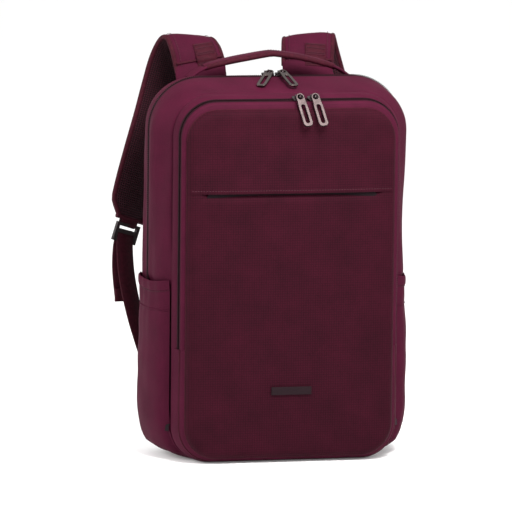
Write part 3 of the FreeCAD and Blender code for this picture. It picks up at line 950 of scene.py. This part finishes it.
def pocketPoint(sign, t, z):
    # t runs along the pocket from the pleat to the rear gusset
    x, y, nothing = curvePoint([p + (0.0,) for p in pocket["plan"]], t)
    middle = ease(t / 0.12) * ease((1.0 - t) / 0.12)
    near = math.exp(-(pocket["hem"] - z) / 0.045)
    folds = t * 0.104 / pocket["gatherPitch"] * 2.0 * math.pi + 0.7 * math.sin(9.0 * t)
    x += pocket["gather"] * near * middle * math.sin(folds)
    x += 3.6 * mm * near * middle
    x += middle * wobble((sign * x, y, z), 0.03, 1.5 * mm)
    x += 0.5 * mm * middle * math.exp(-((z - pocket["seam"]) / (3.0 * mm)) ** 2)
    low = max(0.0, 0.062 - z) / 0.053
    x += 20.0 * mm * (1.0 - math.sqrt(max(0.0, 1.0 - low * low))) * 0.95
    return Vector((-sign * x, y, z))


def pocketHemZ(t):
    dip = pocket["dip"] * math.sin(math.pi * min(1.0, t * 1.1)) ** 2
    return pocket["hem"] - 0.5 * pocket["hemDeep"] - dip


def makePocket(sign, word):
    def spot(t, share):
        z = pocket["foot"] + (pocketHemZ(t) - pocket["foot"]) * share ** 0.9
        return pocketPoint(sign, t, z), (t * 0.104, z)

    body = sheet("sidePocket" + word, evenly(61), evenly(46), spot, "pack", litSideCloth, 1.3 * mm,
                 sign < 0, True)
    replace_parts(body, "side_pocket_" + word.lower())
    path = [pocketPoint(sign, t, pocketHemZ(t)) + Vector((sign * 0.5 * mm, 0.0, 0.0)) for t in evenly(61)]
    hem = strip("pocketHem" + word, path, [(0.0, 0.0, 1.0)] * 61,
                padProfile(pocket["hemDeep"], 2.4 * mm, 0.6, 16, 0.7), "pack", [litSideCloth])
    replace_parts(hem, "pocket_hem_" + word.lower())
    line = [pocketPoint(sign, t, pocketHemZ(t) - 6.2 * mm) + Vector((sign * 0.35 * mm, 0.0, 0.0))
            for t in evenly(121, 0.02, 0.98)]
    stitchRun("pocketHemStitches" + word, line, "pack")
    seamLine = [pocketPoint(sign, t, pocket["seam"]) + Vector((sign * 0.1 * mm, 0.0, 0.0))
                for t in evenly(81, 0.02, 0.98)]
    tube("pocketSeam" + word, seamLine, 0.8 * mm, "pack", litSideCloth)


for sign, word in sides:
    makePocket(sign, word)
print("side pockets ready")


# Shoulder straps: polyester outside, spacer mesh inside, both edges bound
strap = {
    "width": 57.0 * mm, "core": 8.0 * mm, "mesh": 3.0 * mm, "samples": 72,
    "yaw": math.radians(22.0), "roll": 0.1,
    "y": [85, 93, 107, 122, 134, 140, 142, 141, 137, 130],
    "z": [430, 450, 462, 457, 437, 405, 370, 330, 290, 252],
    "leftOut": [70, 74, 79, 84, 91, 99, 108, 120, 132, 142],
    "rightOut": [55, 57, 61, 66, 74, 85, 98, 113, 128, 140],
}


def strapFrames(sign):
    # centre line, width direction and outward direction of one strap
    outs = strap["leftOut"] if sign < 0 else strap["rightOut"]
    points = [(sign * o * mm, y * mm, z * mm) for o, y, z in zip(outs, strap["y"], strap["z"])]
    line = smoothPath(points, strap["samples"])
    rows = []
    for t, p, along in zip(evenly(strap["samples"]), line, alongPath(line)):
        yaw = strap["yaw"] * t
        roll = strap["roll"] * math.exp(-((t - 0.2) / 0.16) ** 2)
        wide = Vector((-math.cos(yaw), sign * math.sin(yaw), -sign * roll))
        wide = (wide - along * wide.dot(along)).normalized()
        rows.append((p, wide, along.cross(wide).normalized()))
    return rows


def onStrap(rows, share, side, lift):
    # a point on the strap: share of its length, offset across and outwards
    place = share * (len(rows) - 1)
    i = min(int(place), len(rows) - 2)
    f = place - i
    p, wide, out = [a.lerp(b, f) for a, b in zip(rows[i], rows[i + 1])]
    return p + wide * side + out * lift


def makeStrap(sign, word):
    rows = strapFrames(sign)
    body = "strap_" + word.lower()
    path = [r[0] for r in rows]
    across = [r[1] for r in rows]
    full = strap["core"] + strap["mesh"]
    profile = [(a, b - 0.5 * strap["mesh"]) for a, b in padProfile(strap["width"], full, 0.45, 36, 0.5)]
    mats = [1 if b < -0.5 * strap["mesh"] - 0.2 * mm else 0 for a, b in profile]

    def padSwell(t):
        ends = min(1.0, 0.55 + 6.0 * t, 0.5 + 9.0 * (1.0 - t))
        narrow = min(1.0, 0.86 + 2.4 * (1.0 - t)) * (1.0 - 0.35 * ease((t - 0.93) / 0.07))
        return narrow, ends, 0.0

    pad = strip("shoulderPad" + word, path, across, profile, body, [litSideCloth, meshCloth],
                mats, padSwell)
    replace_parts(pad, "shoulder_pad_" + word.lower(), "strap_mesh_" + word.lower())
    for edge in (-1, 1):
        line = []
        for i, (p, wide, out) in enumerate(rows):
            narrow = padSwell(i / (len(rows) - 1))[0]
            reach = edge * (0.5 * strap["width"] * narrow - 1.0 * mm)
            line.append(p + wide * reach - out * (0.5 * strap["mesh"]))
        place = word + ("Inner" if edge * sign > 0 else "Outer")
        tube("strapBinding" + place, line, 3.0 * mm, body, sides=10)
        stitches = [onStrap(rows, share, edge * 22.0 * mm, 0.5 * strap["core"] - 0.75 * mm)
                    for share in evenly(151, 0.03, 0.93)]
        stitchRun("strapStitches" + place, stitches, body)

    # the foot of the pad is bound across, and a webbing loop there holds the buckle's top bar
    foot = [onStrap(rows, 0.992, side, -0.5 * strap["mesh"]) for side in evenly(21, -19.0 * mm, 19.0 * mm)]
    tube("strapFoot" + word, foot, 3.0 * mm, body, sides=10)
    lockLow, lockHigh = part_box("ladder_lock_" + word.lower())
    lockMiddle = 0.5 * (lockLow + lockHigh)
    lockTop = Vector((lockMiddle.x - sign * 1.5 * mm, lockMiddle.y + 0.5 * mm, lockHigh.z - 7.0 * mm))
    footMiddle = onStrap(rows, 0.985, 0.0, 0.0)
    turned = rows[-1][1]
    for face in (-1.0, 1.0):
        lift = rows[-1][2] * (face * 2.2 * mm)
        loopLine = [footMiddle + lift, footMiddle.lerp(lockTop, 0.6) + lift * 1.1,
                    lockTop + lift * 0.9 - Vector((0.0, 0.0, 1.0 * mm))]
        strip("buckleLoop" + word + ("Outer" if face > 0 else "Inner"), smoothPath(loopLine, 9), [turned] * 9,
              tapeProfile(22.0 * mm, 1.6 * mm), body, [tapeCloth])

    # the keeper: webbing sewn along the arch, bar-tacked, with a loop left open between two tacks
    shift = -8.0 * mm
    keeperPath, keeperAcross = [], []
    for share in evenly(46, 0.004, 0.134):
        loose = math.sin(math.pi * (share - 0.03) / 0.04) if 0.03 < share < 0.07 else 0.0
        keeperPath.append(onStrap(rows, share, shift, 0.5 * strap["core"] + 0.5 * mm + 1.8 * mm * loose))
        keeperAcross.append(rows[min(int(share * 71), 71)][1])
    keeper = strip("strapKeeper" + word, keeperPath, keeperAcross, tapeProfile(24.0 * mm, 1.7 * mm), body,
                   [tapeCloth])
    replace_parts(keeper, "strap_keeper_" + word.lower())
    for k, share in enumerate((0.022, 0.03, 0.072, 0.08, 0.105, 0.128)):
        tack = [onStrap(rows, share, shift + side, 0.5 * strap["core"] + 1.6 * mm)
                for side in evenly(13, -11.0 * mm, 11.0 * mm)]
        stitchRun("keeperTack" + word + str(k + 1), tack, body, 1.7 * mm, 1.5 * mm, 0.5 * mm)
    loopPath = [onStrap(rows, 0.05, side, 0.5 * strap["core"] + 0.3 * mm)
                for side in evenly(25, -27.0 * mm, 27.0 * mm)]
    ahead = (onStrap(rows, 0.06, 0.0, 0.0) - onStrap(rows, 0.04, 0.0, 0.0)).normalized()
    strip("strapCrossSeam" + word, loopPath, [ahead] * 25, tapeProfile(2.4 * mm, 1.0 * mm), body, [tapeCloth])


for sign, word in sides:
    makeStrap(sign, word)

# Webbing below the buckles, and what the straps are sewn to
webbing = {
    "width": 22.0 * mm, "thick": 1.8 * mm,
    "adjuster": [(145, 128.5, 241), (148, 125, 226), (147, 115, 188), (140, 99, 143), (128, 82, 96)],
    "tail": [(147, 131.5, 241), (151, 131, 222), (152, 130, 196), (149, 127, 160)],
    "wing": [(127.0, 80.6, 92.0), (122.0, 70.5, 72.0), (114.0, 66.0, 50.0)],
}


def widthAt(widths, t):
    spans = len(widths) - 1
    i = min(int(t * spans), spans - 1)
    return (widths[i] + (widths[i + 1] - widths[i]) * (t * spans - i)) * mm


def hangStrip(name, points, sign, widths, body, mat, across, sag=0.0, thick=webbing["thick"]):
    line = [(sign * x * mm, y * mm, z * mm) for x, y, z in points]
    path = [curvePoint(line, t) + Vector((0.0, sag * math.sin(math.pi * t), 0.0)) for t in evenly(33)]
    return strip(name, path, [across] * 33, tapeProfile(webbing["width"], thick), body, [mat],
                 swell=lambda t: (widthAt(widths, t) / webbing["width"], 1.0, 0.0))


for sign, word in sides:
    low = word.lower()
    turned = Vector((-math.cos(strap["yaw"]), sign * math.sin(strap["yaw"]), 0.0))
    adjuster = hangStrip("adjusterWebbing" + word, webbing["adjuster"], sign, [22, 22], "strap_" + low,
                         tapeCloth, turned, 1.0 * mm)
    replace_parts(adjuster, "adjuster_webbing_" + low)
    tail = hangStrip("webbingTail" + word, webbing["tail"], sign, [22, 22], "strap_" + low, tapeCloth,
                     turned)
    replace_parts(tail, "webbing_tail_" + low)
    tailEnd = Vector((sign * 149.0 * mm, 127.0 * mm, 162.0 * mm))
    foldPath = [tailEnd + Vector((0.0, back * mm, rise * mm))
                for back, rise in ((0.3, 12.0), (0.0, 0.0), (-0.3, -3.0))]
    strip("webbingFold" + word, foldPath, [turned] * 3, tapeProfile(22.6 * mm, 3.6 * mm), "strap_" + low,
          [tapeCloth])
    wing = hangStrip("webbingWing" + word, webbing["wing"], sign, [26, 34, 46], "pack", litSideCloth,
                     Vector((-1.0, 0.0, 0.0)), thick=3.0 * mm)
    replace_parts(wing, "webbing_wing_" + low)
    yokeLow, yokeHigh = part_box("strap_yoke_" + low)
    middle = 0.5 * (yokeLow.x + yokeHigh.x)
    top = strapFrames(sign)
    topX = top[0][0].x
    yokePath = [(middle, 71.0 * mm, 384.0 * mm), (0.6 * middle + 0.4 * topX, 75.0 * mm, 402.0 * mm),
                (topX, 80.5 * mm, 419.0 * mm), tuple(top[2][0])]
    yoke = strip("strapYoke" + word, smoothPath(yokePath, 17), [(-1.0, 0.0, 0.0)] * 17,
                 padProfile(59.0 * mm, 9.4 * mm, 0.4, 24), "pack", [litSideCloth])
    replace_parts(yoke, "strap_yoke_" + low)
print("straps ready")


# Haul handle: webbing folded over a soft core, creased at its peak, with both long edges rolled
handle = {
    "line": [(-75, 434), (-62, 438), (-32, 444), (2, 448), (34, 445), (63, 438), (75, 434)],
    "widths": [13, 20, 24, 22, 24, 20, 13], "width": 24.0 * mm, "thick": 6.6 * mm, "peak": 0.5,
}
handleY = 0.5 * (lowest("haul_handle", 1) + highest("haul_handle", 1))
handlePoints = [(x * mm, handleY, z * mm) for x, z in handle["line"]]
handlePath = smoothPath(handlePoints, 61)
for p in handlePath:
    p.z += 1.6 * mm * math.exp(-abs(p.x - 2.0 * mm) / (16.0 * mm))


def handleWidth(t):
    pinch = 1.0 - 0.14 * math.exp(-((t - handle["peak"]) / 0.035) ** 2)
    dent = -1.1 * mm * math.exp(-((t - handle["peak"]) / 0.02) ** 2)
    return widthAt(handle["widths"], t) * pinch / handle["width"], 1.0, dent


handlePad = strip("haulHandle", handlePath, [(0.0, 1.0, 0.0)] * 61,
                  padProfile(handle["width"], handle["thick"], 0.5, 28, 0.6), "haul_handle", [litSideCloth],
                  swell=handleWidth)
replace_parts(handlePad, "haul_handle")
handleHalf = [0.5 * handle["width"] * handleWidth(t)[0] for t in evenly(61)]
for edge, word in ((-1, "Front"), (1, "Rear")):
    roll = [p + Vector((0.0, edge * (half - 1.2 * mm), -0.4 * mm)) for p, half in zip(handlePath, handleHalf)]
    tube("handleRoll" + word, roll, 3.1 * mm, "haul_handle", sides=12)
    row = [p + Vector((0.0, edge * (half - 5.6 * mm), 0.5 * handle["thick"] - 0.05 * mm))
           for p, half in zip(handlePath, handleHalf)]
    stitchRun("handleStitches" + word, row[3:58], "haul_handle")
for sign, word in sides:
    tabPath = [(sign * x * mm, handleY, z * mm)
               for x, z in ((73.0, 434.6), (80.0, 431.5), (87.0, 427.0), (93.0, 422.5))]
    tab = strip("handleTab" + word, smoothPath(tabPath, 15), [(0.0, -sign, 0.0)] * 15,
                padProfile(23.0 * mm, 4.2 * mm, 0.4, 20, 0.7), "pack", [litSideCloth])
    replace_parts(tab, "handle_tab_" + word.lower())
print("handle ready")


# Zip pulls: a cast tab with a round eye and a long slot, its edges tumbled round
pull = {
    "length": 37.0 * mm, "topHalf": 4.8 * mm, "lowHalf": 5.5 * mm, "thick": 1.9 * mm, "bevel": 0.45 * mm,
    "eye": 3.0 * mm, "slotHalf": 2.1 * mm, "slotTop": -12.0 * mm, "slotLow": -31.0 * mm,
}
joints = {j["name"]: Vector(j["pos_m"]) for j in frame["joints"] if "pos_m" in j}


def circle(cx, cy, r, start, end, count):
    return [(x, y) for x, y, nx, ny in arcPoints(cx, cy, r, start, end, count)]


def makePull(name, body, eye, lean, tilt, splay, mat):
    top, low = pull["topHalf"], pull["lowHalf"]
    corner = 4.2 * mm
    foot = corner - pull["length"]
    outline = circle(0.0, 0.0, top, 180, 0, 20) + [(top, -1.0 * mm), (top, -6.0 * mm), (low, -13.0 * mm)]
    outline += circle(low - corner, foot, corner, 0, -90, 8)
    outline += circle(corner - low, foot, corner, -90, -180, 8)
    outline += [(-low, foot), (-low, -13.0 * mm), (-top, -6.0 * mm), (-top, -1.0 * mm)]
    eyeHole = circle(0.0, 0.0, pull["eye"], 0, 360, 24)
    slot = circle(0.0, pull["slotTop"], pull["slotHalf"], 0, 180, 10)
    slot += circle(0.0, pull["slotLow"], pull["slotHalf"], 180, 360, 10)
    curve = bpy.data.curves.new(name, "CURVE")
    curve.dimensions = "2D"
    curve.fill_mode = "BOTH"
    curve.extrude = 0.5 * pull["thick"] - pull["bevel"]
    curve.bevel_depth = pull["bevel"]
    curve.bevel_resolution = 2
    curve.offset = -pull["bevel"]
    for points in (outline, eyeHole, slot):
        spline = curve.splines.new("POLY")
        spline.points.add(len(points) - 1)
        for point, (x, y) in zip(spline.points, points):
            point.co = (x, y, 0.0, 1.0)
        spline.use_cyclic_u = True
    drawn = bpy.data.objects.new(name + "Outline", curve)
    scene.collection.objects.link(drawn)
    bpy.context.view_layer.update()
    mesh = bpy.data.meshes.new_from_object(drawn.evaluated_get(bpy.context.evaluated_depsgraph_get()))
    bpy.data.objects.remove(drawn)
    mesh.name = name
    place = (Matrix.Translation(eye) @ Matrix.Rotation(math.radians(splay), 4, "Z")
             @ Matrix.Rotation(math.radians(tilt), 4, "X") @ Matrix.Rotation(math.radians(lean), 4, "Y")
             @ Matrix.Rotation(math.radians(90.0), 4, "X"))
    mesh.transform(place)
    mesh.materials.clear()
    mesh.materials.append(mat)
    for polygon in mesh.polygons:
        polygon.use_smooth = True
    mesh.set_sharp_from_angle(angle=math.radians(38.0))
    tab = bpy.data.objects.new(name, mesh)
    scene.collection.objects.link(tab)
    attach(tab, body)
    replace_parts(tab, body)


def makeBail(name, slider, eye):
    # the wire loop between the slider's bridge and the eye of its pull
    low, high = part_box(slider)
    bridge = Vector((eye.x, 0.5 * (low.y + high.y) - 0.5 * mm, high.z - 1.6 * mm))
    reach = bridge - eye
    centre = eye + reach * 0.5
    along = reach * 0.5
    upwards = Vector((0.0, -reach.z, reach.y)).normalized() * (2.3 * mm)
    turns = [2.0 * math.pi * k / 28 for k in range(28)]
    loop = [centre + along * math.cos(turn) + upwards * math.sin(turn) for turn in turns]
    tube(name, loop, 0.8 * mm, slider, gunmetal, closed=True)


# the main pulls take the lighter nickel copy and the front pulls the darker one, painted shade
for zipName, lean, tilt, splays, tabMat in (("main", 0.0, -70.0, (-30.0, 9.0), litNickel),
                                            ("front", -9.0, -33.0, (0.0, 0.0), nickel)):
    for word, splay in zip(("left", "right"), splays):
        eye = joints[f"{zipName}_pull_{word}_lift"]
        makePull(f"{zipName}Pull{word.title()}", f"{zipName}_pull_{word}", eye, lean, tilt, splay, tabMat)
        makeBail(f"{zipName}Bail{word.title()}", f"{zipName}_slider_{word}", eye)
print("pulls ready")


# Inside: pockets of lining cloth with bound mouths, and the divider between the two compartments
inside = {"roll": 16.0 * mm, "wall": 1.0 * mm, "binding": 1.7 * mm, "waves": 0.1}


def liningPocket(name, node, body, ribs=()):
    # the pocket stands out towards the front of the bag; ribs are the seams that part it
    low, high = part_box(node)
    columns = evenly(49, low.x, high.x)
    rows = evenly(41, low.z, high.z)

    def spot(x, z):
        d = min(x - low.x, high.x - x, z - low.z)
        full = math.sqrt(max(0.0, 1.0 - (1.0 - min(d / inside["roll"], 1.0)) ** 2))
        for rib in ribs:
            full *= 1.0 - 0.7 * math.exp(-((x - rib) / (6.0 * mm)) ** 2)
        slack = wobble((x, inside["waves"], z), 0.03, 0.5 * mm) * full
        return (x, high.y + (low.y - high.y) * full * 0.94 + slack, z), (x, z)

    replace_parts(sheet(name, columns, rows, spot, body, liningCloth, inside["wall"]), node)
    mouth = [Vector(spot(x, high.z)[0]) - Vector((0.0, 0.0, 0.8 * mm)) for x in columns]
    tube(name + "Binding", mouth, inside["binding"], body)
    for k, rib in enumerate(ribs):
        x = min(columns, key=lambda place: abs(place - rib))
        line = [Vector(spot(x, z)[0]) - Vector((0.0, 0.3 * mm, 0.0)) for z in rows[2:]]
        stitchRun(f"{name}Stitches{k + 1}", line, body)


liningPocket("organizerPocket", "organizer_pocket", "front_section", (-0.031, 0.031))
liningPocket("laptopSleeve", "laptop_sleeve", "pack")


def liningSheet(name, outline, zLow, y, body, bulge):
    def spot(share, z):
        half = halfWidthAt(min(z, outline[3] - 0.2 * mm), outline)
        x = share * half
        slack = min(1.0, max(0.0, edgeDistance(x, z, outline)) / 0.03)
        return (x, y - bulge * slack + wobble((x, y, z), 0.05, 1.0 * mm) * slack, z), (x, z)

    rows = evenly(49, zLow, outline[3])
    return sheet(name, evenly(41, -1.0, 1.0), rows, spot, body, liningCloth, 1.2 * mm)


dividerLow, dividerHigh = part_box("divider_panel")
dividerOutline = drawnIn(pleatOutline, 3.4 * mm)
divider = liningSheet("dividerPanel", dividerOutline, dividerLow.z, dividerHigh.y - 0.4 * mm, "front_section",
                      0.6 * mm)
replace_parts(divider, "divider_panel")
slipLow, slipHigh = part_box("slip_pocket_lining")
slipOutline = (slipLow.y, slipHigh.x, slipLow.z, slipHigh.z, 12.0 * mm, 12.0 * mm)
slip = liningSheet("slipPocketLining", slipOutline, slipLow.z, slipLow.y + 0.3 * mm, "front_flap", 0.2 * mm)
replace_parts(slip, "slip_pocket_lining")
facingOutline = (slipLow.y, slipHigh.x, slipHigh.z - 3.0 * mm, slitZ + 0.027, 3.0 * mm, 3.0 * mm)
liningSheet("slipPocketFacing", facingOutline, facingOutline[2], slipLow.y + 0.9 * mm, "front_flap", 0.0)
keptFinishes = {
    "main_slider_left": gunmetal, "main_slider_right": gunmetal,
    "front_slider_left": gunmetal, "front_slider_right": gunmetal,
    "ladder_lock_left": acetal, "ladder_lock_right": acetal,
    "badge": softBadge, "frame_sheet": sheetPlastic,
}
for node, mat in keptFinishes.items():
    kept = frame["nodes"][node]
    kept.data.materials.clear()
    kept.data.materials.append(mat)
print("hardware and lining ready")


# Stage, lights and camera
def addLight(name, place, aim, size, power, colour):
    data = bpy.data.lights.new(name, "AREA")
    data.energy = power
    data.size = size
    data.color = colour
    lamp = bpy.data.objects.new(name, data)
    scene.collection.objects.link(lamp)
    lamp.location = place
    lamp.rotation_euler = (Vector(aim) - Vector(place)).to_track_quat("-Z", "Y").to_euler()


floorMat, floorTree, floorShader = startMaterial("white studio sweep", 0.6)
floorShader.inputs["Base Color"].default_value = toLinear("#f6f6f6")
floorShader.inputs["Emission Color"].default_value = (1.0, 1.0, 1.0, 1.0)
floorShader.inputs["Emission Strength"].default_value = 0.1
floorMesh = bpy.data.meshes.new("floor")
floorMesh.from_pydata([(-30, -30, 0), (30, -30, 0), (30, 30, 0), (-30, 30, 0)], [], [(0, 1, 2, 3)])
floorMesh.materials.append(floorMat)
floor = bpy.data.objects.new("floor", floorMesh)
scene.collection.objects.link(floor)

world = bpy.data.worlds.new("studio")
scene.world = world
world.use_nodes = True
world.node_tree.nodes["Background"].inputs["Color"].default_value = (1.0, 1.0, 1.0, 1.0)
world.node_tree.nodes["Background"].inputs["Strength"].default_value = 0.97
addLight("softboxTop", (0.1, -0.65, 1.0), (0.0, -0.07, 0.38), 0.5, 24.0, (1.0, 0.98, 0.97))
addLight("softboxFront", (1.4, -1.9, 1.2), (0.0, 0.0, 0.3), 1.0, 16.0, (1.0, 0.99, 0.98))
addLight("softboxSide", (-1.7, 0.1, 0.9), (0.0, 0.0, 0.25), 0.9, 26.0, (1.0, 0.98, 0.97))
scene.view_settings.view_transform = "Standard"

view = {"azimuth": math.radians(-13.5), "elevation": math.radians(7.2), "distance": 6.0, "lens": 374.5,
        "roll": math.radians(0.6), "right": -23.0 * mm, "up": 9.0 * mm, "height": 0.215}
sideways = Vector((math.cos(view["azimuth"]), math.sin(view["azimuth"]), 0.0))
back = Vector((math.sin(view["azimuth"]) * math.cos(view["elevation"]),
               -math.cos(view["azimuth"]) * math.cos(view["elevation"]), math.sin(view["elevation"])))
upward = back.cross(sideways)
target = Vector((0.0, 0.0, view["height"])) + sideways * view["right"] + upward * view["up"]
cameraData = bpy.data.cameras.new("camera")
cameraData.lens = view["lens"]
cameraData.sensor_width = 36.0
cameraData.clip_end = 30.0
camera = bpy.data.objects.new("camera", cameraData)
scene.collection.objects.link(camera)
camera.location = target + back * view["distance"]
turn = (-back).to_track_quat("-Z", "Y") @ Quaternion((0.0, 0.0, 1.0), view["roll"])
camera.rotation_euler = turn.to_euler()
scene.camera = camera
